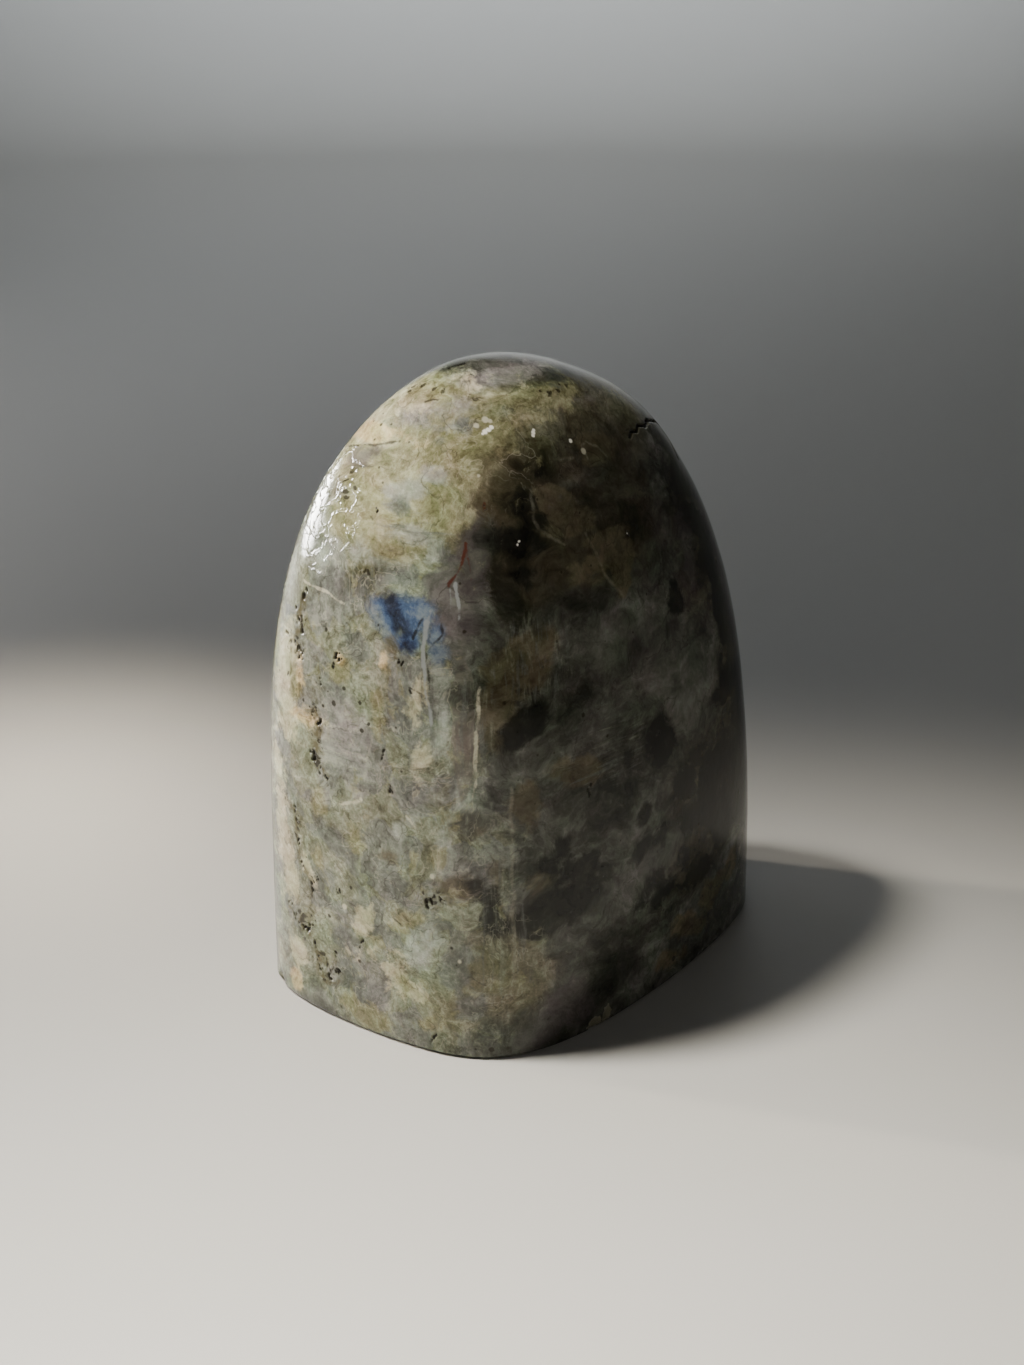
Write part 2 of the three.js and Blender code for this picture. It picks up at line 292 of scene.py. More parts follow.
# Areas: bearing, height, width, tallness and, unless they stand upright, the lean to the right in degrees.
AREAS = {
    # the paler half of the stone
    "pale": [
        (-168, 22, 40, 48), (-177, 52, 34, 50), (-172, 82, 28, 28), (-146, 26, 9, 54), (-138, 36, 7, 12),
        (-138, 14, 8, 18), (-158, 58, 12, 36), (-146, 92, 18, 12), (-130, 96, 12, 4), (150, 30, 30, 66),
        (140, 75, 34, 44), (-170, 94, 40, 16), (160, 92, 40, 20), (-131, 16, 8, 9), (95, 22, 26, 30, 20),
        (60, 72, 30, 26, -30), (20, 40, 20, 44, 10), (118, 60, 26, 30),
    ],
    "ink": [
        # upper broad face
        (-122.6, 82.9, 3.2, 3.4, 20), (-119.5, 80.4, 2.6, 2, 30), (-110, 86, 1.6, 1.4), (-128, 78.4, 7, 5),
        (-120, 76.8, 4, 2.2), (-126, 73.6, 4, 2.2),
        # right shoulder
        (-54, 62.5, 6, 6, 10), (-35, 60, 5, 20), (-30, 44, 4, 12),
        # dark knot beside the ridge
        (-128, 53.6, 7, 4.6, -20), (-131.4, 50.6, 4.4, 3, -20), (-124.6, 51.2, 4, 2.4, 30),
        (-133.5, 52, 3, 4.4), (-126.5, 57.2, 2.4, 2),
        # middle
        (-77, 44.6, 5, 4.4, -20), (-71.4, 41.6, 4.4, 5.6, 20), (-75, 39.4, 3, 3), (-64, 33, 6, 6),
        (-85, 32, 2.8, 3.2),
        # the long low streak and its lobes
        (-121.5, 23.2, 15, 6.6, -8), (-112, 24.6, 7, 4.8, -15), (-129.5, 22.8, 7, 3.8),
        (-105.5, 25.8, 5, 2.8, -15), (-114, 28.5, 8, 3.6, -10), (-120, 32.3, 4, 3.8, -30),
        (-122.5, 30.5, 3, 2.6), (-108, 29.5, 3, 2),
        # toward the foot
        (-76, 27, 2.4, 3.4, -10), (-86, 26.6, 6.5, 2.4, -15), (-81, 20, 8, 3.2, -25),
        (-74, 17.8, 6.5, 2.6, -25), (-86, 17.5, 3, 2.2), (-60, 25.5, 6, 4, -20), (-50, 31, 7, 12),
        (-44, 23, 7, 8), (-66, 21, 5, 3, -20),
        # ridge
        (-139.6, 27.4, 5, 3.6), (-138.4, 23.4, 3, 4.8, -10), (-144.4, 29.2, 3.6, 1.6),
        # end, back and heel
        (-6, 26, 5, 9, 20), (-3, 21, 4, 6, 30), (-14, 52, 4, 10), (18, 61, 7, 3, -15), (28, 57, 5, 3),
    ],
    # softer darks, bands and spots across the broad face
    "dusk": [
        (-113, 68.2, 9, 3.4, -10), (-105, 68.6, 9, 3.4, -10), (-97, 67, 5, 2.4, -20),
        (-80.5, 58.2, 3.4, 3.6, -20), (-88, 56.5, 3, 1.8), (-95, 47.2, 3, 3.6, -20),
        (-113, 58.5, 8, 2.2, -8), (-124, 55.5, 4, 3), (-91, 38, 3.4, 3.4), (-97, 34, 2.4, 4),
        (-103, 36, 2, 2.4), (-107, 34.5, 2.6, 3), (-120.5, 48.8, 4, 2.8, -10), (-130.5, 31.3, 4.4, 1.8),
        (-90, 14.6, 4, 2, -10), (-97, 13.4, 9, 2.2, -12), (-118, 24, 22, 9, -8), (-76, 24, 14, 8, -12),
        (-100, 8, 12, 8), (-60, 58, 5, 3), (-63, 50, 3, 3, -10), (-146, 57.6, 4, 5), (-147.5, 62.6, 4, 4),
        (-140, 39, 5, 3.4), (-175.5, 73, 7, 3.6, -20), (-145, 38.4, 4, 3.6), (-134.6, 47, 3, 6),
        (-137.6, 79, 5, 4), (47, 66, 9, 5, 30), (60, 31, 15, 5, -14), (84, 45, 10, 4, -14),
        (96, 62, 14, 5, -20), (82, 11, 12, 4, -8), (124, 24, 5, 11, 25), (26, 30, 10, 4, -10),
        (34, 27, 6, 4), (51, 61, 8, 6, 20), (52, 34, 8, 5, -20), (78, 43, 6, 4, -30), (103, 65, 10, 5, -20),
        (110, 57, 5, 7, 20), (90, 8, 12, 4), (128, 19, 6, 7, 20), (137, 62, 5, 12, 25),
        (60, 82, 13, 4, -14), (108, 82, 8, 5, -10), (8, 46, 9, 6, 20), (14, 20, 10, 6), (34, 48, 8, 5, -20),
        (44, 22, 9, 4, -10), (70, 66, 9, 5, -20), (88, 70, 6, 4), (92, 34, 8, 4, -14), (105, 12, 8, 5),
        (118, 44, 5, 8, 20), (132, 50, 4, 7, 20),
    ],
    # painted shade: the shaded side of the dome, where light gives way to dark, and the far end of the broad
    # face
    "gloom": [
        (-126, 79, 15, 13), (-114, 75, 12, 8), (-132, 76, 6, 10), (-126, 70, 10, 6), (-52, 28, 22, 24),
        (-34, 40, 14, 40), (-40, 66, 12, 20), (-139, 76, 8, 12), (-118, 85, 11, 8), (-60, 20, 16, 14),
    ],
    # the warm ground round the foot of the ridge
    "sand": [(-137, 14, 16, 16), (-150, 8, 10, 8), (108, 26, 9, 12, 15)],
    # painted reflection: a paler haze on the broad face's far end, where its polish mirrors the lit
    # surroundings
    "ash": [
        (-66, 54, 14, 12), (-54, 49, 12, 14), (-80, 60, 10, 7), (-96, 62, 9, 5, -10), (-98, 51, 8, 4, -10),
    ],
    # the warm olive-brown shoulder behind the dome: partly the stone's own colour, partly painted shade where
    # the crown turns from the light
    "bronze": [
        (-58, 92, 24, 8), (-86, 92, 16, 5), (-112, 89.5, 14, 5), (-30, 91, 16, 10), (-128, 86, 12, 8),
        (-136, 82, 10, 9), (-143, 79, 6, 6), (-122, 88.5, 12, 5), (-16, 82, 10, 12), (70, 88, 16, 7),
    ],
    # browns of the broad face
    "tea": [
        (-66, 87.5, 9, 5.4), (-98, 71.5, 8, 5), (-129, 61, 9, 9), (-122, 64, 6, 5), (-166, 31.6, 5, 3),
        (-166, 64, 2, 3), (-136, 55, 6, 12), (-137.5, 60.5, 4, 7), (-112, 43.6, 9, 4.4, 10),
        (-118, 45, 5, 3), (-130, 41, 5.4, 7), (-145.5, 50.5, 3.6, 9.5), (-127, 28, 7, 3, -10),
        (-147, 28.5, 6.4, 4), (-137.8, 28, 2.2, 7), (-143, 38, 6, 3.6), (-96, 72, 6, 4),
        (-60, 7.5, 13, 4.4, 18), (-48, 10.5, 9, 6, 15), (-74, 4.4, 9, 3, 15), (-40, 12, 6, 8),
        (96, 76, 6, 4, -10), (103, 79, 5, 5), (90, 79, 4, 2.4), (66, 48, 9, 3.4, -16), (73, 51, 6, 5, -20),
        (60, 46, 4, 3), (0, 70, 6, 9), (5, 76, 5, 5), (80, 24, 5, 3), (72, 20, 6, 3, -12),
        (38, 76, 8, 5, 20), (134, 42, 3, 8, 20), (130, 36, 4, 5), (12, 34, 5, 5), (112, 20, 5, 6, 15),
    ],
    # dim violet
    "plum": [
        # the first three, beside the ridge's upper part, are partly the stone's violet-brown and partly
        # painted shade where the ridge turns from the light
        (-143, 77, 5, 8), (-150, 71, 7, 12), (-145, 71, 6, 12), (-26, 60, 5, 20), (-118, 6, 11, 8),
        (-126, 3, 8, 4.4), (-113, 9.5, 4, 3), (-42, 68, 5, 12, 5), (-30, 66, 5, 12), (167, 88, 5, 2, -25),
        (163, 86.6, 3.4, 1.8, -30), (163.5, 83.5, 3, 2.4), (-102.5, 82.5, 2.8, 1.6), (116, 73, 5, 6, 20),
        (121, 69, 4, 5), (64, 16, 6, 4), (58, 13, 5, 4), (14, 68, 5, 8), (98, 46, 7, 4, -14),
    ],
    # yellow greens and olives of the pale side
    "olive": [
        (-168, 60.3, 1.7, 3.6, -5), (-169.3, 53.4, 1.7, 6.8, 3), (-162.3, 21.6, 5.6, 2.8, -30),
        (-159, 31.4, 1.8, 6), (-172, 2.4, 9, 3.6), (-180, 3.4, 6, 2.8), (-155.5, 5.4, 4, 3.2, -35),
        (-176.5, 33.5, 3.6, 5), (-153, 33, 3.4, 3.6), (171, 37, 3, 4), (177, 58.6, 4, 3.6),
        (-177, 91.4, 6, 2.8), (-171, 91.8, 4.4, 2.2), (-152, 81.6, 5.6, 5), (-148, 87, 5, 4),
        (-140, 91.4, 5, 3), (-125, 93, 7, 3.6), (-108, 94.8, 7, 2.8), (-88, 95.6, 7, 2.4),
        (-164, 89.6, 9, 3), (-158, 81.6, 6, 2.6), (-177, 87.6, 5, 5.6), (-165, 93.6, 4.4, 2.2),
        (172, 96, 4.4, 2.2), (-160, 96.8, 5, 1.6), (-118, 95.5, 6, 2.8), (-75, 94.6, 9, 3),
        (-56, 94.8, 7, 3), (-100, 93.2, 8, 3.2), (170, 80, 5, 4), (-172, 77, 6, 3), (162, 55, 2.6, 7),
        (169, 27, 3, 4), (-162.6, 10.6, 2.6, 2), (-104, 95.6, 12, 2.6), (-90, 95.8, 9, 2.4), (90, 27, 6, 5),
        (96, 30, 6, 4, -14), (86, 22, 4, 4), (8, 7, 9, 4), (18, 10, 6, 4), (142, 88, 10, 6),
        (150, 60, 5, 10), (54, 74, 8, 4, -10), (116, 34, 4, 6, 15), (32, 40, 6, 5), (106, 88, 9, 5),
    ],
    "cream": [
        # the long upright ones at bearings 155 to 158, by the narrow face's left edge, face the lamps most
        # squarely: partly the stone's cream, partly painted light
        (157, 56, 6, 15), (160, 47.5, 6, 6.6), (165, 49.5, 5, 1.8, -5), (155, 30, 4, 26),
        (158, 21, 4.4, 11), (165.5, 25, 2.6, 6, -20), (-158.5, 55, 3, 6.6, 8), (-156.6, 48.4, 1.6, 5, 6),
        (-173, 14, 5, 2.6, -20), (-160.5, 10, 6, 3.6), (-166, 12.6, 5, 2.6), (-148, 97.7, 3, 1.8),
        (-154, 98.3, 2.8, 1.3), (-141, 97.2, 2.4, 1.4), (162, 90.4, 11, 2.4, -8), (158, 93, 9, 3.6, -8),
        (166, 95.4, 8, 2.2), (-106, 96.6, 8, 1.6), (-151, 88, 4, 2.6), (-176, 19, 2.6, 5, 20),
        (161, 9, 4, 4.4), (157, 92.4, 5, 3), (158, 96, 7, 3), (94, 19, 5, 4, -10), (99, 22, 5, 3),
        (122, 54, 3, 6, 20), (125, 49, 4, 4), (60, 70, 6, 3, -12), (64, 67, 4, 3), (22, 36, 4, 5, 20),
        (140, 30, 5, 10), (75, 92, 9, 3), (87, 88, 6, 3), (110, 70, 5, 4), (80, 57, 6, 2.4, -14),
    ],
    "amber": [
        (164, 91.2, 12, 2.2, -8), (158, 91, 6, 3), (159, 3.5, 2.8, 3.6), (163.8, 56.3, 1.2, 3),
        (177.2, 60.6, 1.2, 1.4), (165.6, 49.6, 3, 1, -5), (-168.4, 61.4, 0.9, 1.4), (106, 44, 2, 2.4),
        (93, 52, 3, 1.4, -14),
    ],
    "grey": [
        (-164.6, 27.4, 4.6, 6), (-163, 24.6, 3.4, 3), (-158.6, 43, 4.6, 4, -30), (-175, 7.2, 7.4, 3.8, -12),
        (178, 10.2, 4, 3.2), (-172, 5.4, 3.4, 2.2), (-149, 14.5, 5.6, 6), (-146, 17.5, 4.4, 3.4),
        (-153.6, 27.4, 5, 3.6), (175.5, 31.5, 4.6, 4.8), (171, 33, 3, 3), (174, 24, 3.2, 4.4),
        (177, 15.6, 3.4, 6), (-163.5, 53.6, 4, 5.6), (-178.5, 63.8, 5, 2.8), (-174.5, 62.2, 3.2, 2.4),
        (177.4, 55.4, 3.2, 2.2), (-178, 29.4, 2.6, 4), (-149, 92.9, 3.8, 2), (-171, 82.8, 5, 2.6),
        (-131, 97.9, 3.4, 1.4), (-160, 91, 3, 1.4), (164, 66.8, 3, 2.6), (-149.6, 64, 2.6, 3.6),
        (-151, 76.4, 2.6, 3.4), (-175, 71, 9, 4, -15), (-153, 73, 5, 6), (-150, 67, 4, 7),
        (172, 71.5, 6, 3.4, -20), (-146, 62, 3.4, 4), (-166, 73.6, 6, 3), (-172, 18.4, 2.6, 2.4),
        (-144, 9, 5, 5), (-141, 31, 4, 3),
    ],
    "lilac": [
        (178, 52, 7.4, 9), (-178, 45, 7.4, 10), (174.5, 47, 5.4, 8), (176, 40.5, 6.4, 4.6),
        (-174.5, 42, 4.6, 5), (-173.5, 50, 3.4, 6), (-100, 98.2, 8, 2), (-172, 93.6, 13, 4),
        (-158, 95.6, 9, 2.6), (-120, 98.4, 12, 3), (-60, 98, 6, 1.6), (-140, 70, 3, 4), (84, 60, 9, 9),
        (112, 30, 8, 7), (30, 84, 8, 6),
    ],
    # the luminous ground of the dome
    "straw": [
        (-172, 86, 26, 22), (-154, 91, 18, 14), (-118, 96.6, 18, 4), (-175, 96, 24, 8), (165, 88, 14, 14),
        (60, 90, 20, 10), (130, 93, 18, 9),
    ],
    # painted half-shade: the greener olive ground, darkened where the dome's light gives way to shade
    "moss": [(-146, 82, 12, 14), (-140, 87, 13, 10), (-133, 91, 13, 7), (-150, 77, 6, 7), (120, 84, 12, 8)],
    # the warm dark ground of the upper broad face: partly the stone's own brown, partly painted shade on that
    # side
    "umber": [
        (-95, 77, 40, 18), (-62, 80, 16, 14), (-116, 80, 14, 9), (-60, 86, 20, 8), (-95, 86, 18, 7),
        (88, 82, 12, 6), (78, 79, 8, 6),
    ],
    # smooth fawn plates on it: the scalloped one and the wedge
    "plate": [
        (-108.5, 81.6, 9, 7), (-112, 79.6, 6.6, 3.6, 10), (-99, 79, 9, 4), (-82, 75.6, 10, 3),
        (-80.5, 73, 8.4, 4.4), (-78.6, 71, 6.4, 4), (-80.6, 69, 4.8, 3.6), (-81.8, 67.4, 2.4, 2.2),
        (84, 83, 7, 3),
    ],
    # the straight-edged shaded strip beside the ridge line
    "veil": [(-145.7, 53, 3.4, 22)],
    # bluish white bloom
    "frost": [
        (-151.6, 53, 3.2, 9), (-149.4, 71.5, 1.6, 4, 4), (-155.5, 77, 3, 4, 10), (-150.5, 92.4, 4, 2.6),
        (171, 73.6, 5, 7), (-159.5, 38, 3.6, 2.6, -40), (-158, 16, 4.4, 5.4), (-155.4, 19.6, 5, 4),
        (178.5, 20.5, 1.5, 1.7), (171.5, 74, 5, 5), (-178, 75.8, 5, 3), (-171, 84.6, 7, 3.6),
        (-157, 87, 5, 3), (-163, 79.2, 8, 2.8), (-151, 34, 3.4, 7), (-162.6, 36, 3, 3), (-146, 43, 2.6, 5),
        (-170, 92.6, 2.8, 0.8), (50, 48, 10, 4, -18), (100, 69, 9, 4, -20),
    ],
    # the blue flash, its navy core and its pale leading edge
    "flash": [
        (-160.6, 68.4, 6.4, 5.4, -20), (-166, 68.6, 5, 6.4, -40), (-170.6, 69.8, 3.2, 3, -30),
        (-161, 64.8, 3.6, 3.6), (-153.4, 66.2, 1.7, 2),
    ],
    "flash_deep": [
        (-171, 71.4, 2.6, 2.6, -30), (-168, 70.6, 3, 3, -40), (-166.4, 69, 2.4, 3, -40),
        (-163.6, 67.2, 2.6, 4, -35), (-161, 64, 3, 2.2),
    ],
    "flash_pale": [
        (-171.6, 67.6, 1.8, 5.4, -48), (-167, 65.4, 1.6, 3.6, -42), (-157.6, 69, 2.4, 2.4),
        (-152.4, 63.4, 2.4, 2.6), (-153.2, 66, 1.4, 1.6),
    ],
    # where the grain stands upright, lies level, or is peppered with black
    "fibre": [
        (-156, 54, 9, 18), (-137, 22, 9, 40), (-144, 50, 8, 26), (-124, 62, 14, 14), (92, 48, 14, 20, 20),
    ],
    "striae": [(180, 46, 13, 18), (-165, 80, 14, 8), (-100, 46, 20, 14), (85, 60, 12, 12)],
    "pepper": [
        (-176.8, 73.8, 4.8, 2.9), (-173, 72, 2, 1.4), (163, 62, 2, 11), (170.6, 46, 2, 11),
        (162.6, 30, 2, 9), (164, 15, 6, 5, -40), (171, 8.6, 5.6, 5, -10), (-178, 97, 10, 2),
        (166, 84, 4.4, 4), (-154, 26.2, 4, 2), (66, 27, 7, 6), (3, 33, 5, 7), (-65, 95.4, 9, 1.2),
    ],
    "worn": [(164, 82, 9, 12, -12), (163, 76, 8, 7), (172, 79, 5, 6), (140, 82, 16, 16)],
}

# Dots: bearing, height and size.
DOTS = {
    # painted glints: white dots that stand in for small sparkles of reflected light
    "glint": [
        (-137.4, 92.2, 0.9), (-135.6, 92.4, 0.8), (-133.6, 92.7, 0.6), (-138.8, 92, 0.5), (-107.4, 91, 0.6),
        (-106.4, 91.3, 0.75), (-105.4, 91.6, 0.55), (-81.5, 89.2, 0.55), (-70.4, 75, 0.4),
        (-126.5, 78.2, 0.34), (-127.2, 77.8, 0.28), (62, 88, 0.8), (64, 88.4, 0.5),
    ],
    "chalk_dot": [
        (178.5, 20.5, 1.0), (-154, 29.8, 0.7), (-147.2, 16.5, 0.5), (-141, 87, 0.5), (-137, 93.6, 0.9),
        (-134, 93.4, 0.6), (-142.6, 93, 0.7), (-76, 87.4, 0.9), (163.2, 81.4, 0.6), (-174.6, 39.6, 0.6),
    ],
    "speck": [
        (-180, 56.2, 0.75), (-174.8, 54.6, 0.6), (-174, 50.5, 0.8), (173, 52.5, 0.5), (172.6, 64.1, 0.6),
        (-172, 51.7, 0.5), (-162.2, 45.6, 0.5), (-149.3, 18.6, 0.6), (173, 17.8, 0.7), (-134.8, 56.5, 0.55),
        (-100, 47.5, 0.6), (-109.5, 52, 0.5), (-75, 15.8, 0.6), (-107.5, 12.3, 0.5), (-132.7, 43.6, 0.45),
        (-56, 21.7, 0.6), (-78, 95.8, 0.6), (-60, 95.2, 0.7), (-52, 95.8, 0.6), (-71, 95.4, 0.45),
        (-179, 24.2, 0.7), (176.7, 53.5, 0.8), (165.6, 52.2, 0.5), (168, 51.5, 0.4), (-170.5, 66.6, 0.5),
        (-145.2, 66.8, 0.6), (-139.6, 1.8, 0.8), (-135.5, 1.8, 0.6), (-73.6, 27.2, 0.6), (-69, 3.8, 1.0),
        (-55, 32, 0.8), (-177, 12, 0.6), (170, 92.3, 0.5), (164, 92, 0.5), (167, 90.2, 0.4),
    ],
}


def segments():
    """Every thin line, as ends and a reach."""
    for width, *stations in (line for lines in LINES.values() for line in lines):
        path = path_of(stations)
        yield from ((a, b, width) for a, b in zip(path, path[1:]))


def work():
    """Dots, pits, crack and chips, as ends and a reach."""
    for bearing, height, size in sum(DOTS.values(), PITS):
        point = surface_at(bearing, height)[0]
        yield point, point, size / 2
    path = path_of(CRACK)
    yield from ((a, b, CRACK_WIDTH / 2) for a, b in zip(path, path[1:]))
    for bearing, height, width, tallness, depth in CHIPS:
        point = surface_at(bearing, height)[0]
        yield point, point, max(width, tallness) / 2


def distance_to(points, a, b):
    ahead = b - a
    share = np.clip((points - a) @ ahead / max(ahead @ ahead, 1e-9), 0, 1)
    return np.linalg.norm(points - a - share[:, None] * ahead, axis=1)


# ------------------------------------------------------------------ the blank, made by operators

def square_to_dome(bm):
    """Moves a subdivided block, one unit high on a two unit square, to the unit dome."""
    wall_top = WALL_SHARE * math.pi / 2
    for vert in bm.verts:
        x, y, z = vert.co
        ring = max(abs(x), abs(y))
        arc = z * wall_top if ring > 1 - 1e-6 else wall_top + (1 - ring) * (math.pi / 2 - wall_top)
        if ring < 1e-6:
            turn = 0
        elif abs(x) >= abs(y):
            turn = math.pi / 4 * y / x + (math.pi if x < 0 else 0)
        else:
            turn = math.pi / 2 - math.pi / 4 * x / y + (math.pi if y < 0 else 0)
        vert.co = (math.cos(arc) * math.cos(turn), math.cos(arc) * math.sin(turn), math.sin(arc))


def refine(bm, features, margin):
    """Halves the faces that lie within a margin of any feature."""
    bm.faces.ensure_lookup_table()
    centres = form_of(np.array([face.calc_center_median() for face in bm.faces]))
    close = np.full(len(centres), np.inf)
    for a, b, reach in features:
        close = np.minimum(close, distance_to(centres, a, b) - reach)
    edges = {edge for face, gap in zip(bm.faces, close) if gap < margin for edge in face.edges}
    bmesh.ops.subdivide_edges(bm, edges=list(edges), cuts=1, use_grid_fill=True)


def blank():
    bm = bmesh.new()
    bmesh.ops.create_cube(bm, size=2)
    bmesh.ops.scale(bm, verts=bm.verts, vec=(1, 1, 0.5))
    bmesh.ops.translate(bm, verts=bm.verts, vec=(0, 0, 0.5))
    bmesh.ops.delete(bm, geom=[f for f in bm.faces if f.normal.z < -0.5], context="FACES_ONLY")
    upright = [e for e in bm.edges if abs(e.verts[0].co.z - e.verts[1].co.z) > 0.5]
    bmesh.ops.subdivide_edges(bm, edges=upright, cuts=ROWS - 1, use_grid_fill=True)
    level = [e for e in bm.edges if abs(e.verts[0].co.z - e.verts[1].co.z) < 1e-6]
    bmesh.ops.subdivide_edges(bm, edges=level, cuts=STRIPS - 1, use_grid_fill=True)
    square_to_dome(bm)
    for row in ARRIS_ROWS:
        rise = (row * ARRIS / HEIGHT) ** (1 / RING_CROWDING)
        everything = bm.verts[:] + bm.edges[:] + bm.faces[:]
        bmesh.ops.bisect_plane(bm, geom=everything, plane_co=(0, 0, rise), plane_no=(0, 0, 1), dist=1e-7)
    lines, cuts = list(segments()), list(work())
    for margin in MARGINS:
        refine(bm, lines + cuts, margin)
    refine(bm, cuts, LAST_MARGIN)
    rim = [edge for edge in bm.edges if edge.is_boundary]
    bmesh.ops.edgeloop_fill(bm, edges=rim)
    return bm


# ------------------------------------------------------------------ wear: pits, crack, chips and grinding

def wobble(points, pitch):
    """A smooth unevenness between -1 and 1 whose waves are about pitch long."""
    x, y, z = (points * (2 * math.pi / pitch)).T
    first = np.sin(x + 1.7 * np.sin(0.61 * y))
    second = np.sin(1.13 * y + 1.3 * np.sin(0.7 * z))
    third = np.sin(0.87 * z + x * 0.5)
    return (first + second + third) / 3


def out_of_oval(points, spot, length, width, thickness, lean):
    """How far out points lie from a spot, where 1 is the edge of an oval of this size and lean."""
    point, normal, along, up = spot
    angle = math.radians(lean)
    ahead = up * math.cos(angle) + along * math.sin(angle)
    offset = points - point
    sizes = ((ahead, length), (np.cross(normal, ahead), width), (normal, thickness))
    return np.linalg.norm(np.stack([offset @ way / size for way, size in sizes], -1) * 2, axis=1)


def hollow(points, spot, length, width, lean):
    """How deep points lie in a rounded hollow, from 0 at its edge to 1 in its middle."""
    ragged = 1 + RIM_RAGGEDNESS * wobble(points, RIM_PITCH)
    return np.clip(1 - out_of_oval(points, spot, length, width, length, lean) * ragged, 0, 1)


def cluster(seed, length):
    """Small hollows that make up one ragged pit: how far along and up each lies, and its size."""
    dice = np.random.default_rng(seed)
    for _ in range(FEWEST_HOLLOWS + seed % 3):
        along, up = dice.normal(0, SCATTER, 2) * length
        yield along, up * UPWARD_SCATTER, length * dice.uniform(*HOLLOW_SIZES)


def wear(points):
    """How far each point is cut back, and how much it belongs to a dark floor and to a fresh scar."""
    waves = 0.7 * wobble(points, LONG_WAVE) + 0.3 * wobble(points[:, [2, 0, 1]], SHORT_WAVE)
    depth = UNEVENNESS * (1 + waves)
    floor = np.zeros(len(points))
    for i, (bearing, height, length) in enumerate(PITS):
        lean = PIT_LEAN if i % 2 else -PIT_LEAN
        spot = surface_at(bearing, height)
        for along, up, size in cluster(i, length):
            point = spot[0] + spot[2] * along + spot[3] * up
            bowl = hollow(points, (point, *spot[1:]), size, size * PIT_NARROWNESS, lean)
            depth = np.maximum(depth, PIT_DEPTH * size * smoothstep(bowl * 2.2))
            floor = np.maximum(floor, smoothstep(bowl * 2))
    path = path_of(CRACK)
    for a, b in zip(path, path[1:]):
        ragged = 1 + 0.3 * wobble(points, 1.3)
        groove = np.clip(1 - distance_to(points, a, b) * 2 / CRACK_WIDTH * ragged, 0, 1)
        depth = np.maximum(depth, CRACK_DEPTH * groove**0.6)
        floor = np.maximum(floor, smoothstep(groove * 3.5))
    fresh = np.zeros(len(points))
    for bearing, height, width, tallness, bite in CHIPS:
        spot = surface_at(bearing, height)
        scar = hollow(points, spot, tallness * CHIP_SPREAD, width * CHIP_SPREAD, CHIP_LEAN)
        stepped = scar + SCAR_STEP * np.sin(scar * SCAR_STEPPING + 3 * wobble(points, 2.1)) * (scar > 0)
        depth += bite * np.clip(stepped, 0, 1)
        fresh = np.maximum(fresh, smoothstep(scar * 3))
    return depth, floor, fresh


# ------------------------------------------------------------------ the dressed stone

# What a field says far from every marking, how far markings sway, and the way the near side looks.
FAR = -8.0
LINE_SWAY, WIDE_SWAY, CLOSE_SWAY = 0.35, 2.6, 1.0
NEAR_SIDE = np.array([-0.74, -0.67, 0])

# Where the far side's sway begins, how gently it grows, and how short its close waves are beside the wide.
FAR_SIDE_START, FAR_SIDE_REACH, CLOSER = 0.6, 40, 0.37


def swayed(points):
    """The points pushed about a little, so that lines and areas on them wander."""
    waves = (([0, 1, 2], 7), ([1, 2, 0], 6), ([2, 0, 1], 5))
    return points + LINE_SWAY * np.stack([wobble(points[:, order], pitch) for order, pitch in waves], -1)


def wandering(points):
    """The swayed points pushed about further on the far side, where no marking has to meet another."""
    far_side = smoothstep(FAR_SIDE_START - points @ NEAR_SIDE / FAR_SIDE_REACH)[:, None]
    waves = (([2, 0, 1], 19), ([0, 1, 2], 15), ([1, 2, 0], 17))
    wide = np.stack([wobble(points[:, order], pitch) for order, pitch in waves], -1)
    close = np.stack([wobble(points[:, order], pitch * CLOSER) for order, pitch in waves], -1)
    return swayed(points) + far_side * (WIDE_SWAY * wide + CLOSE_SWAY * close)


def near_lines(points, lines):
    """How far inside its half width each point lies from the nearest line, in millimetres."""
    field = np.full(len(points), FAR)
    for width, *stations in lines:
        path = path_of(stations)
        for a, b in zip(path, path[1:]):
            field = np.maximum(field, width - distance_to(points, a, b))
    return field


def in_areas(points, areas):
    """About how far inside the nearest area's edge each point lies, in millimetres."""
    field = np.full(len(points), FAR)
    for bearing, height, width, tallness, *lean in areas:
        spot, leaning = surface_at(bearing, height), lean[0] if lean else 0
        out = out_of_oval(points, spot, tallness, width, max(width, tallness), leaning)
        field = np.maximum(field, (1 - out) * min(width, tallness) / 2)
    return field


def on_dots(points, dots):
    """How far inside the nearest dot's edge each point lies, in millimetres."""
    field = np.full(len(points), FAR)
    for bearing, height, size in dots:
        point = surface_at(bearing, height)[0]
        field = np.maximum(field, size / 2 - np.linalg.norm(points - point, axis=1))
    return field


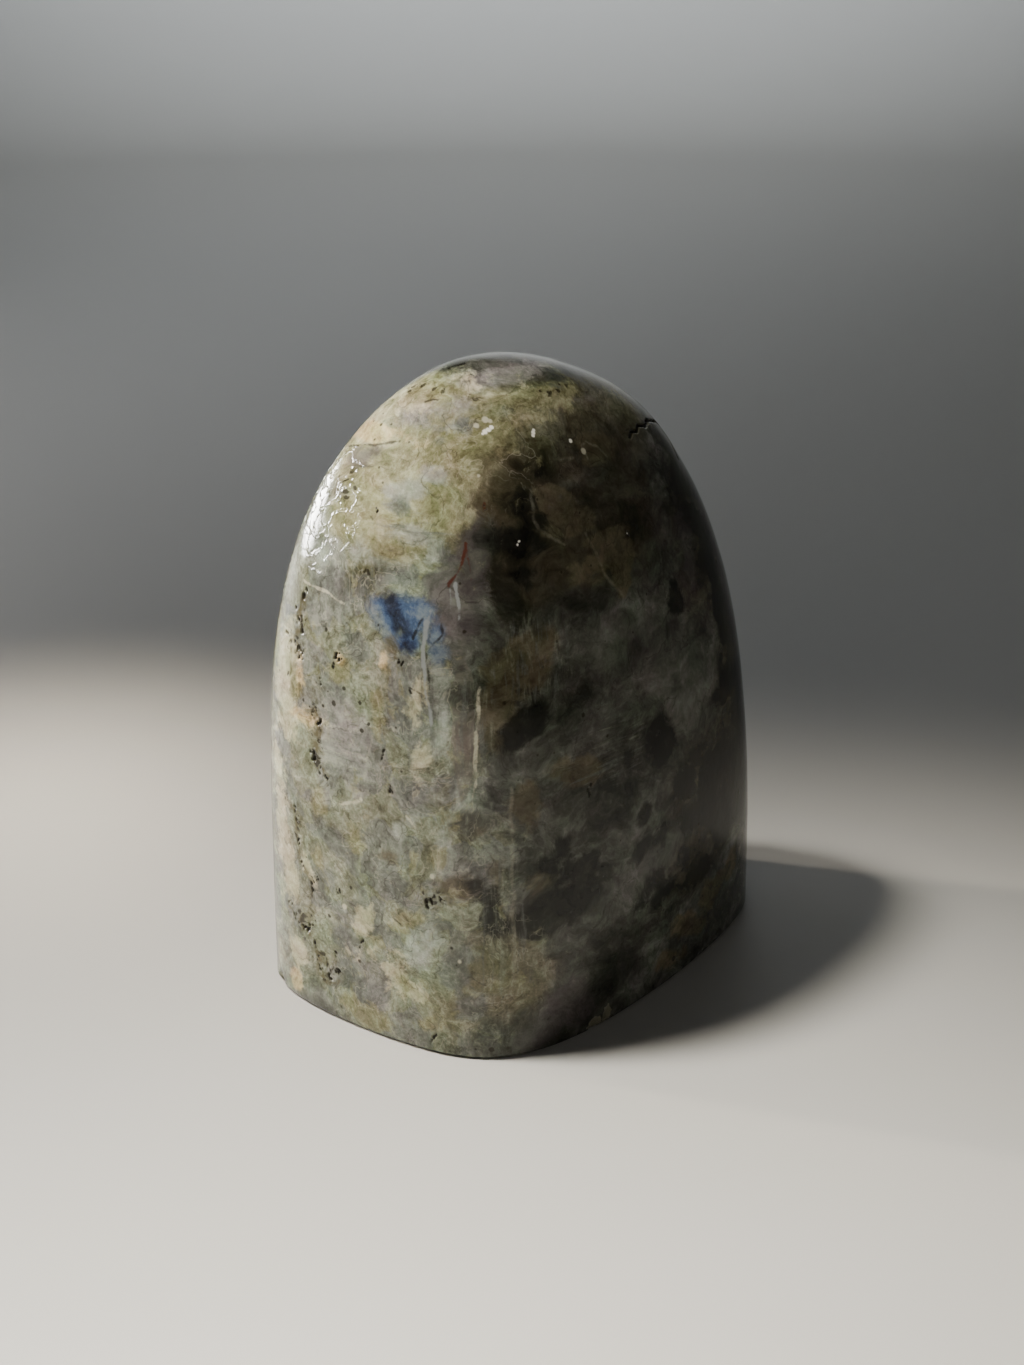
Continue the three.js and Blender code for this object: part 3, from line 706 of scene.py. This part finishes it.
def dressed_stone():
    mesh = bpy.data.meshes.new("polished_stone")
    bm = blank()
    bm.to_mesh(mesh)
    bm.free()
    count = len(mesh.vertices)
    flat = np.empty(count * 3)
    mesh.vertices.foreach_get("co", flat)
    dome = flat.reshape(-1, 3)
    points = form_of(dome)
    points[dome[:, 2] < 1e-6, 2] = 0
    mesh.vertices.foreach_set("co", points.ravel())
    mesh.update()
    normals = np.empty(count * 3)
    mesh.vertices.foreach_get("normal", normals)
    normals = normals.reshape(-1, 3)
    depth, floor, fresh = wear(points)
    on_foot = points[:, 2] < 1e-4
    normals[on_foot, 2] = 0
    worn = points - normals * depth[:, None]
    fields = {"pit": floor, "chip": fresh}
    for_lines, for_areas = swayed(points), wandering(points)
    fields.update({name: near_lines(for_lines, lines) for name, lines in LINES.items()})
    fields.update({name: in_areas(for_areas, areas) for name, areas in AREAS.items()})
    fields.update({name: on_dots(points, dots) for name, dots in DOTS.items()})
    for name, field in fields.items():
        mesh.attributes.new(name, "FLOAT", "POINT").data.foreach_set("value", field.astype(np.float32))
    low, high = points.min(0), points.max(0)
    middle = (low + high) / 2
    cad_middle = (Vector(cad_box[0]) + Vector(cad_box[1])) / 2
    worn[:, 0] += cad_middle.x / MM - middle[0]
    worn[:, 1] += cad_middle.y / MM - middle[1]
    mesh.vertices.foreach_set("co", (worn * MM).ravel())
    mesh.polygons.foreach_set("use_smooth", [True] * len(mesh.polygons))
    mesh.update()
    stone = bpy.data.objects.new("polished_stone", mesh)
    bpy.context.collection.objects.link(stone)
    return stone


stone = dressed_stone()


# ------------------------------------------------------------------ shader kit

MIX_FACTOR, MIX_A, MIX_B, MIX_RESULT = 0, 6, 7, 2


def adding(operation, flipped=False):
    """A Python operator that adds a Math node."""

    def operator(value, other):
        parts = (other, value) if flipped else (value, other)
        return value.recipe.node("ShaderNodeMath", {"operation": operation}, dict(enumerate(parts)))

    return operator


class Value:
    """A socket that Python sums can be written on; each sum adds its Math node."""

    __add__, __radd__ = adding("ADD"), adding("ADD", flipped=True)
    __sub__, __rsub__ = adding("SUBTRACT"), adding("SUBTRACT", flipped=True)
    __mul__ = adding("MULTIPLY")
    over = adding("MAXIMUM")

    def __init__(self, recipe, socket):
        self.recipe, self.socket = recipe, socket

    def ramp(self, low, high):
        """0 below low, 1 above high and smooth between; low above high turns it over."""
        sockets = {"Value": self, "From Min": low, "From Max": high, "To Min": 0.0, "To Max": 1.0}
        if low > high:
            sockets.update({"From Min": high, "From Max": low, "To Min": 1.0, "To Max": 0.0})
        return self.recipe.node("ShaderNodeMapRange", {"interpolation_type": "SMOOTHSTEP"}, sockets)


class Recipe:
    """A material's node tree, with one way in for every kind of node."""

    def __init__(self, name):
        self.material = bpy.data.materials.new(name)
        self.material.use_nodes = True
        self.tree = self.material.node_tree
        self.shader = self.tree.nodes["Principled BSDF"]

    def node(self, kind, settings=None, sockets=None, output=0):
        made = self.tree.nodes.new(kind)
        for setting, choice in (settings or {}).items():
            if setting == "stops":
                self.set_stops(made.color_ramp.elements, choice)
            else:
                setattr(made, setting, choice)
        for socket, given in (sockets or {}).items():
            self.feed(made.inputs[socket], given)
        return Value(self, made.outputs[output])

    def set_stops(self, elements, stops):
        while len(elements) < len(stops):
            elements.new(0.5)
        for element, (place, colour) in zip(elements, stops):
            element.position = place
            element.color = (*colour, 1)

    def feed(self, socket, given):
        if isinstance(given, Value):
            self.tree.links.new(given.socket, socket)
        elif socket.type == "RGBA":
            socket.default_value = (*given, 1)
        else:
            socket.default_value = given

    def finish(self, **sockets):
        for name, given in sockets.items():
            self.feed(self.shader.inputs[name.replace("_", " ")], given)
        return self.material

    def mix(self, factor, under, over, how="MIX"):
        settings = {"data_type": "RGBA", "blend_type": how, "clamp_factor": True}
        sockets = {MIX_FACTOR: factor, MIX_A: under, MIX_B: over}
        return self.node("ShaderNodeMix", settings, sockets, MIX_RESULT)

    def shift(self, where, by, how="ADD"):
        return self.node("ShaderNodeVectorMath", {"operation": how}, {0: where, 1: by})

    def noise(self, where, size, detail=4, roughness=0.55, output=0):
        """Cloudy noise whose lumps are about size millimetres across."""
        sockets = {"Vector": where, "Scale": 1 / MM / size, "Detail": detail, "Roughness": roughness}
        return self.node("ShaderNodeTexNoise", {}, sockets, output)

    def cells(self, where, size, output="Distance", feature="F1"):
        """Cells about size millimetres across."""
        sockets = {"Vector": where, "Scale": 1 / MM / size}
        return self.node("ShaderNodeTexVoronoi", {"feature": feature}, sockets, output)

    def bend(self, where, size, reach, detail):
        """The same place pushed about by cloudy noise, by up to about half the reach in metres."""
        push = self.shift(self.noise(where, size, detail, 0.55, output="Color"), (0.5, 0.5, 0.5), "SUBTRACT")
        return self.shift(where, self.shift(push, (reach, reach, reach), "MULTIPLY"))

    def line(self, clouds, width):
        """1 along the middle contour of a cloudy noise and 0 away from it."""
        return self.node("ShaderNodeMath", {"operation": "ABSOLUTE"}, {0: clouds - 0.5}).ramp(width, 0.0)

    def run(self, along, stops):
        """A colour run: stops are places from 0 to 1 with their colours."""
        return self.node("ShaderNodeValToRGB", {"stops": stops}, {"Fac": along})

    def field(self, name):
        return self.node("ShaderNodeAttribute", {"attribute_name": name}, {}, "Fac")


# ------------------------------------------------------------------ the stone's finish

def run_of(*colours, between=(0.5,)):
    """A colour run from dark to light; between places the colours that lie between its ends."""
    return list(zip((0.0, *between, 1.0), colours))


MATRIX = run_of(
    (0.058, 0.058, 0.032), (0.134, 0.14, 0.091), (0.217, 0.231, 0.167), (0.385, 0.405, 0.315),
    between=(0.35, 0.65),
)
GREY = run_of((0.05, 0.051, 0.044), (0.11, 0.115, 0.101), (0.22, 0.229, 0.203))
STRAW = run_of(
    (0.152, 0.145, 0.058), (0.295, 0.286, 0.142), (0.395, 0.387, 0.218), (0.56, 0.55, 0.36),
    between=(0.4, 0.7),
)
# these colours also serve the painted shade on the upper broad face and the dome's shaded side
UMBER = run_of((0.014, 0.012, 0.007), (0.042, 0.036, 0.021), (0.085, 0.073, 0.045))
BRONZE = run_of((0.027, 0.023, 0.011), (0.073, 0.066, 0.036), (0.15, 0.138, 0.083))
DIM = run_of((0.012, 0.012, 0.009), (0.037, 0.037, 0.03), (0.083, 0.084, 0.07))
SAND = run_of((0.052, 0.043, 0.023), (0.13, 0.112, 0.063), (0.24, 0.214, 0.137))
REFLECTION_GREY = run_of((0.058, 0.058, 0.05), (0.112, 0.113, 0.097), (0.185, 0.188, 0.163))
FAWN = run_of((0.045, 0.038, 0.021), (0.1, 0.086, 0.052), (0.15, 0.13, 0.083))
SHADE = run_of((0.075, 0.068, 0.057), (0.135, 0.122, 0.102), (0.21, 0.192, 0.16))
LILAC = run_of((0.098, 0.092, 0.086), (0.199, 0.19, 0.176), (0.33, 0.316, 0.288))
DUSKY = run_of(
    (0.017, 0.017, 0.013), (0.048, 0.049, 0.039), (0.097, 0.099, 0.083), (0.185, 0.19, 0.163),
    between=(0.35, 0.65),
)
CREAMY = run_of((0.255, 0.23, 0.142), (0.445, 0.42, 0.272), (0.66, 0.615, 0.43))
AMBER = run_of((0.2, 0.15, 0.07), (0.5, 0.4, 0.21), (0.76, 0.64, 0.38))
OLIVE = run_of((0.078, 0.072, 0.03), (0.2, 0.19, 0.103), (0.39, 0.38, 0.238))
TEA = run_of((0.037, 0.03, 0.016), (0.09, 0.077, 0.046), (0.17, 0.148, 0.096))
PLUM = run_of((0.036, 0.031, 0.03), (0.078, 0.069, 0.066), (0.135, 0.122, 0.113))
INKY = run_of((0.004, 0.004, 0.003), (0.011, 0.011, 0.008), (0.034, 0.034, 0.026))
FROST = run_of((0.165, 0.172, 0.142), (0.295, 0.313, 0.267), (0.45, 0.478, 0.43))
BLUE = run_of(
    (0.012, 0.014, 0.028), (0.022, 0.035, 0.086), (0.056, 0.094, 0.178), (0.165, 0.2, 0.235),
    between=(0.3, 0.6),
)
STAIN = (0.085, 0.072, 0.036)
SCAR = (0.19, 0.175, 0.118)
CHALK = (0.52, 0.49, 0.37)
SLATE = (0.25, 0.265, 0.265)
SOOT = (0.016, 0.013, 0.008)
RUST = (0.07, 0.02, 0.012)
GLINT_WHITE = (0.9, 0.87, 0.76)


class Polish(Recipe):
    """The stone's recipe: the clouds and ragged edges that its markings share, and the colour laid so far."""

    def __init__(self):
        super().__init__("labradorite")
        self.here = self.node("ShaderNodeTexCoord", {}, {}, "Object")
        # Every pattern is drawn on a bent copy of the stone, so nothing runs straight.
        self.bent = self.bend(self.here, 13, 0.009, 3)
        self.curdled = self.bend(self.bent, 3.2, 0.0030, 4)
        lying = {"Vector": self.curdled, "Rotation": (0, 0.12, 0.05), "Scale": (0.5, 1, 1)}
        self.drawn_out = self.node("ShaderNodeMapping", {}, lying)
        self.curd = self.noise(self.curdled, 2.1, 6, 0.72) - 0.5
        self.mottle = self.noise(self.drawn_out, 5.5, 6, 0.66) - 0.5
        self.cloud = self.noise(self.drawn_out, 15, 5, 0.6) - 0.5
        self.fuzz = self.noise(self.here, 0.8, 4, 0.75) - 0.5
        self.body = self.curd * 1.7 + self.mottle * 1.3 + self.fuzz * 1.3 + 0.5
        self.smoke = self.cloud * 1.6 + self.mottle * 2.2 + self.curd * 1.05 + self.fuzz * 0.5 + 0.5
        broad = (self.noise(self.curdled, 5, 4, 0.6) - 0.5) * 6
        fine = (self.noise(self.bent, 1.6, 4, 0.68) - 0.5) * 2.6
        self.ragged = broad + fine + self.fuzz * 0.8
        self.colour = self.run(self.smoke, DUSKY)

    def lay(self, cover, colours, how="MIX"):
        """Lays a marking over the colour so far."""
        self.colour = self.mix(cover, self.colour, colours, how)

    def edge(self, name, softness=0.4, raggedness=1.0, grow=0.0):
        """1 inside an area and 0 outside, with a ragged edge; all in millimetres."""
        return (self.field(name) + self.ragged * raggedness + grow).ramp(-softness, softness)

    def stroke(self, name, softness=0.1):
        """1 on a thin line or dot and 0 off it, a little ragged."""
        wander = (self.noise(self.here, 1.4, 4, 0.65) - 0.5) * 0.7
        return (self.field(name) + wander).ramp(-softness, softness)


def ground(stone, on_pale):
    """The pale half, cream and greenish with rounded grey plates, over the dusk of the other."""
    matrix = stone.run(stone.body, MATRIX)
    tone = stone.node("ShaderNodeSeparateColor", {}, {0: stone.cells(stone.curdled, 5.0, "Color")}, "Red")
    rim = stone.cells(stone.curdled, 5.0, "Distance", "DISTANCE_TO_EDGE") * (1 / MM)
    plate = (tone + stone.ragged * 0.1).ramp(0.5, 0.66) * (rim + stone.ragged * 0.3).ramp(0.0, 0.8)
    pale = stone.mix(plate * 0.75, matrix, stone.run(stone.body + (tone - 0.5) * 0.5, GREY))
    stone.lay(on_pale, pale)


# The areas in the order they are laid: group, how soft and ragged the edge is and how far it is grown in
# millimetres, strength, the clouds that the colour follows, how far they are lightened, and the colours.
LAYERS = [
    ("straw", 3.0, 1.2, -0.5, 0.75, "body", 0, STRAW),
    # painted half-shade on the olive ground where the dome's light gives way
    ("moss", 4.0, 1.2, 0.5, 0.75, "body", -0.15, OLIVE),
    # partly the stone's olive-brown, partly painted shade on the shoulder behind the dome
    ("bronze", 3.4, 1.2, 0, 0.8, "body", 0, BRONZE),
    # partly the stone's brown, partly painted shade on the upper broad face
    ("umber", 3.4, 1.2, 0, 0.85, "smoke", 0, UMBER),
    # painted shade over the dome's shaded side and the broad face's far end
    ("gloom", 3.6, 1.4, 0.4, 0.85, "smoke", -0.25, UMBER),
    ("sand", 2.6, 1.2, 0, 0.7, "body", 0, SAND),
    # painted reflection: a paler haze on the broad face's far end
    ("ash", 3.0, 1.0, 0.6, 0.75, "smoke", 0, REFLECTION_GREY),
    ("plate", 0.3, 0.3, 0, 0.8, "body", 0, FAWN),
    ("lilac", 0.9, 1.0, 0, 0.75, "body", 0, LILAC),
    ("frost", 0.6, 0.8, 0, 0.7, "body", 0, FROST),
    ("grey", 0.6, 0.8, 0, 0.82, "body", 0, GREY),
    ("cream", 0.7, 1.3, 0, 0.75, "body", 0, CREAMY),
    ("tea", 0.7, 0.8, 0, 0.85, "smoke", 0, TEA),
    ("plum", 1.0, 1.0, 0, 0.8, "smoke", 0, PLUM),
    ("olive", 0.6, 1.0, 0, 0.8, "body", 0, OLIVE),
    ("amber", 0.4, 0.5, 0.2, 0.85, "body", 0, AMBER),
    ("veil", 0.12, 0.1, 0, 0.8, "smoke", 0, SHADE),
    ("dusk", 1.0, 0.9, 0.1, 0.8, "smoke", 0, DIM),
    ("ink", 0.7, 0.9, 0.2, 0.92, "smoke", -0.15, INKY),
]


def placed_areas(stone):
    """The areas, each laid over the ones before it."""
    for group, softness, raggedness, grow, strength, clouds, shift, colours in LAYERS:
        cover = stone.edge(group, softness, raggedness, grow) * strength
        stone.lay(cover, stone.run(getattr(stone, clouds) + shift, colours))


def strewn(stone, on_pale):
    """Loose stains, thin pale skins, hairlines and rare dots, anywhere."""
    fleck = stone.noise(stone.curdled, 4.6, 5, 0.7).ramp(0.57, 0.66)
    stone.lay(fleck * on_pale * 0.6, stone.run(stone.body, OLIVE))
    wide_skin = stone.line(stone.noise(stone.bent, 9, 4, 0.6), 0.010)
    short_skin = stone.line(stone.noise(stone.curdled, 3.4, 3, 0.6), 0.022) * stone.mottle.ramp(-0.02, 0.10)
    skin = (wide_skin * 0.45).over(short_skin * 0.25) * on_pale * (1 - stone.edge("plum", 2.0, 1.0, 1.0))
    stone.lay(skin * (stone.curd + 0.5), CHALK)
    hairline = stone.line(stone.noise(stone.curdled, 14, 3, 0.55), 0.006)
    stone.lay(hairline * 0.45, SOOT)
    rare_dot = stone.cells(stone.here, 3.3).ramp(0.08, 0.04)
    stone.lay(rare_dot * 0.7, SOOT)
    blush = stone.noise(stone.bent, 6.5, 4, 0.6)
    stone.lay(blush.ramp(0.5, 0.64), (1.0, 0.925, 0.98), "MULTIPLY")
    stone.lay(blush.ramp(0.5, 0.36), (0.925, 1.0, 0.93), "MULTIPLY")


def grained(stone):
    """Upright fibres and level striae, each where its own areas say."""
    bent = stone.bend(stone.here, 9, 0.0012, 2)
    upright = stone.node("ShaderNodeMapping", {}, {"Vector": bent, "Scale": (1, 1, 0.05)})
    lying = {"Vector": bent, "Rotation": (0.06, 0.1, 0), "Scale": (0.1, 0.1, 1)}
    level = stone.node("ShaderNodeMapping", {}, lying)
    fibre = (stone.noise(upright, 1.3, 4, 0.65) - 0.5) * stone.edge("fibre", 2.0)
    stria = (stone.noise(level, 0.9, 3, 0.6) - 0.5) * stone.edge("striae", 2.0)
    grain = fibre + stria * 0.8
    stone.lay(grain.ramp(0.02, 0.2) * 0.36, stone.run(stone.body + 0.25, MATRIX))
    stone.lay(grain.ramp(-0.02, -0.16) * 0.6, stone.run(stone.body, GREY))


def flashed(stone):
    """The blue flash, soft at its rim, with a navy core and a pale leading edge."""
    deep = stone.edge("flash_deep", 0.8, 0.5)
    leading = stone.edge("flash_pale", 0.7, 0.5)
    tone = 0.6 + stone.curd * 1.1 + stone.fuzz * 0.9 - deep * 0.5 + leading * 0.3
    cover = (stone.edge("flash", 0.9, 0.6, 0.1) * 0.92).over(leading * 0.6)
    stone.lay(cover, stone.run(tone, BLUE))


def lined(stone):
    """Veins and seams, some of them broken."""
    broken = stone.curd.ramp(-0.12, 0.08) * 0.6 + 0.4
    stone.lay(stone.stroke("slate_vein", 0.12) * 0.8, SLATE)
    stone.lay(stone.stroke("pale_vein", 0.12) * broken * 0.8, CHALK)
    stone.lay(stone.stroke("faint_vein", 0.22) * broken * 0.2, CHALK)
    stone.lay(stone.stroke("rust_seam", 0.12) * 0.9, RUST)
    stone.lay(stone.stroke("dark_seam", 0.12) * 0.8, SOOT)


def dotted(stone):
    """Stains, pepper, specks, painted glints of light, and the floors of pits and chips."""
    stain = stone.edge("pepper", 1.2, 1.0, 0.4) * stone.curd.ramp(0.1, -0.1)
    stone.lay(stain * 0.6, stone.run(stone.body - 0.25, OLIVE))
    seam = stone.edge("stain", 0.3, 0.45) * stone.curd.ramp(0.16, -0.06)
    stone.lay(seam * 0.8, STAIN)
    grains = (stone.cells(stone.curdled, 1.4) - stone.fuzz * 0.3).ramp(0.42, 0.26)
    stone.lay(grains * stone.edge("pepper", 0.5, 0.7) * 0.85, SOOT)
    stone.lay(stone.stroke("speck", 0.12) * 0.85, SOOT)
    stone.lay(stone.stroke("chalk_dot", 0.15) * 0.8, CHALK)
    # painted highlights: the glints
    stone.lay(stone.stroke("glint", 0.1), GLINT_WHITE)
    pit = stone.field("pit")
    stone.lay(pit.ramp(0.0, 0.5) * 0.5, stone.run(stone.smoke, TEA))
    stone.lay(pit.ramp(0.25, 0.9) * 0.92, SOOT)
    scar = (stone.field("chip") + stone.curd * 1.6 + stone.fuzz - 0.25).ramp(0.0, 0.5)
    stone.lay(scar * 0.75, SCAR)


def relief(stone):
    """The polish up close: worn grit, slow ripples and a little fuzz."""
    worn = stone.edge("worn", 1.2, 1.0)
    grit = stone.line(stone.noise(stone.curdled, 2.6, 2, 0.5), 0.05) * worn * 2.5
    ripple = (stone.noise(stone.here, 3.0, 2, 0.5) - 0.5) * 0.5
    height = grit + ripple + stone.fuzz * 0.1
    return stone.node("ShaderNodeBump", {}, {"Strength": 0.3, "Distance": 0.0004, "Height": height})


def labradorite():
    stone = Polish()
    on_pale = stone.edge("pale", 1.6, 1.6)
    ground(stone, on_pale)
    placed_areas(stone)
    strewn(stone, on_pale)
    for laid in (grained, flashed, lined, dotted):
        laid(stone)
    polish = 0.13 + stone.fuzz * 0.1 + stone.curd * 0.16
    roughness = polish + stone.field("pit") * 0.4 + stone.field("chip") * 0.35
    return stone.finish(
        Base_Color=stone.colour, Roughness=roughness, IOR=1.56, Specular_IOR_Level=0.2, Normal=relief(stone)
    )


stone.data.materials.append(labradorite())


# ------------------------------------------------------------------ floor, light and camera

def plain(name, colour, roughness):
    material = bpy.data.materials.new(name)
    material.use_nodes = True
    shader = material.node_tree.nodes["Principled BSDF"]
    shader.inputs["Base Color"].default_value = (*colour, 1)
    shader.inputs["Roughness"].default_value = roughness
    return material


SWEEP_RADIUS, SWEEP_BEND, SWEEP_WALL, SWEEP_STEPS, SWEEP_SPOKES = 1.25, 0.3, 1.0, 12, 96


def sweep(name, material):
    """A round floor that curves up into a low wall, as a sweep of studio paper does."""
    bm = bmesh.new()
    corner = SWEEP_RADIUS - SWEEP_BEND
    angles = [math.pi / 2 * i / SWEEP_STEPS for i in range(SWEEP_STEPS + 1)]
    bend = [(corner + SWEEP_BEND * math.sin(t), 0, SWEEP_BEND * (1 - math.cos(t))) for t in angles]
    profile = [(0, 0, 0), *bend, (SWEEP_RADIUS, 0, SWEEP_WALL)]
    verts = [bm.verts.new(place) for place in profile]
    edges = [bm.edges.new(pair) for pair in zip(verts, verts[1:])]
    turn = {"cent": (0, 0, 0), "axis": (0, 0, 1), "angle": math.tau, "steps": SWEEP_SPOKES}
    bmesh.ops.spin(bm, geom=verts + edges, use_merge=True, **turn)
    bmesh.ops.remove_doubles(bm, verts=bm.verts, dist=1e-5)
    bmesh.ops.recalc_face_normals(bm, faces=bm.faces)
    mesh = bpy.data.meshes.new(name)
    bm.to_mesh(mesh)
    bm.free()
    mesh.polygons.foreach_set("use_smooth", [True] * len(mesh.polygons))
    obj = bpy.data.objects.new(name, mesh)
    mesh.materials.append(material)
    bpy.context.collection.objects.link(obj)


sweep("floor", plain("pale floor", (0.44, 0.43, 0.40), 0.6))


def lamp(
    name, azimuth, elevation, distance, size, power, colour, spread,
    aim=(0, 0, 0.05), gloss=False, finish=True, squat=1.0,
):
    """A round soft lamp, or a squat oval one, never seen itself."""
    data = bpy.data.lights.new(name, "AREA")
    data.shape = "ELLIPSE"
    data.size = size
    data.size_y = size * squat
    data.energy = power
    data.color = colour
    data.spread = math.radians(spread)
    obj = bpy.data.objects.new(name, data)
    a, e = math.radians(azimuth), math.radians(elevation)
    away = Vector((math.cos(a) * math.cos(e), math.sin(a) * math.cos(e), math.sin(e)))
    obj.location = Vector((0, 0, height * 0.5)) + away * distance
    obj.rotation_mode = "QUATERNION"
    obj.rotation_quaternion = (obj.location - Vector(aim)).to_track_quat("Z", "Y")
    obj.visible_camera = False
    obj.visible_diffuse = finish
    obj.visible_glossy = gloss
    bpy.context.collection.objects.link(obj)


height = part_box("stone")[1][2]
SUN, CLOUD = (1, 0.9, 0.76), (1, 0.955, 0.875)
lamp("window", 116, 13, 1.0, 0.06, 0.07, SUN, 11)
lamp("sky", 139, 63, 0.75, 0.13, 0.98, CLOUD, 34, aim=(-0.14, -0.07, 0.04))
lamp("front", -160, 16, 0.9, 0.5, 0.08, CLOUD, 42, aim=(-0.05, -0.01, 0.05))
lamp("bounce", -62, -19, 0.14, 0.06, 0.0018, (1, 0.95, 0.86), 90, aim=(0.02, -0.02, 0.02))
lamp("sheen", 137, 42, 0.75, 0.6, 0.7, CLOUD, 100, gloss=True, finish=False)
lamp("gleam", 99, 6, 0.75, 0.52, 6.6, (1, 0.98, 0.95), 100, gloss=True, finish=False, squat=0.3)
lamp("patch", 104, 66, 0.6, 0.05, 0.05, SUN, 14, aim=(-0.02, 0.11, 0))
lamp("backdrop", 180, 20, 0.6, 0.3, 7, (0.86, 0.92, 1), 50, aim=(0.9, 0.8, 0.5))

world = bpy.data.worlds.new("studio")
world.use_nodes = True
world.node_tree.nodes["Background"].inputs["Color"].default_value = (0.72, 0.8, 0.92, 1)
world.node_tree.nodes["Background"].inputs["Strength"].default_value = 0.03
bpy.context.scene.world = world

CAMERA_AZIMUTH, CAMERA_PITCH, CAMERA_DISTANCE, CAMERA_LENS = -48, 22, 0.3234, 54.17
AIM_X, AIM_Y, AIM_HEIGHT_SHARE = -0.0017, 0.0019, 0.4595
a, p = math.radians(CAMERA_AZIMUTH), math.radians(CAMERA_PITCH)
forward = Vector((-math.sin(a) * math.cos(p), math.cos(a) * math.cos(p), -math.sin(p)))
camera = bpy.data.objects.new("camera", bpy.data.cameras.new("camera"))
camera.data.lens = CAMERA_LENS
camera.data.sensor_width = 36
camera.data.clip_start = 0.01
camera.location = Vector((AIM_X, AIM_Y, height * AIM_HEIGHT_SHARE)) - forward * CAMERA_DISTANCE
camera.rotation_mode = "QUATERNION"
camera.rotation_quaternion = forward.to_track_quat("-Z", "Y")
bpy.context.collection.objects.link(camera)
bpy.context.scene.camera = camera

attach(stone, "root")
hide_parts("stone")
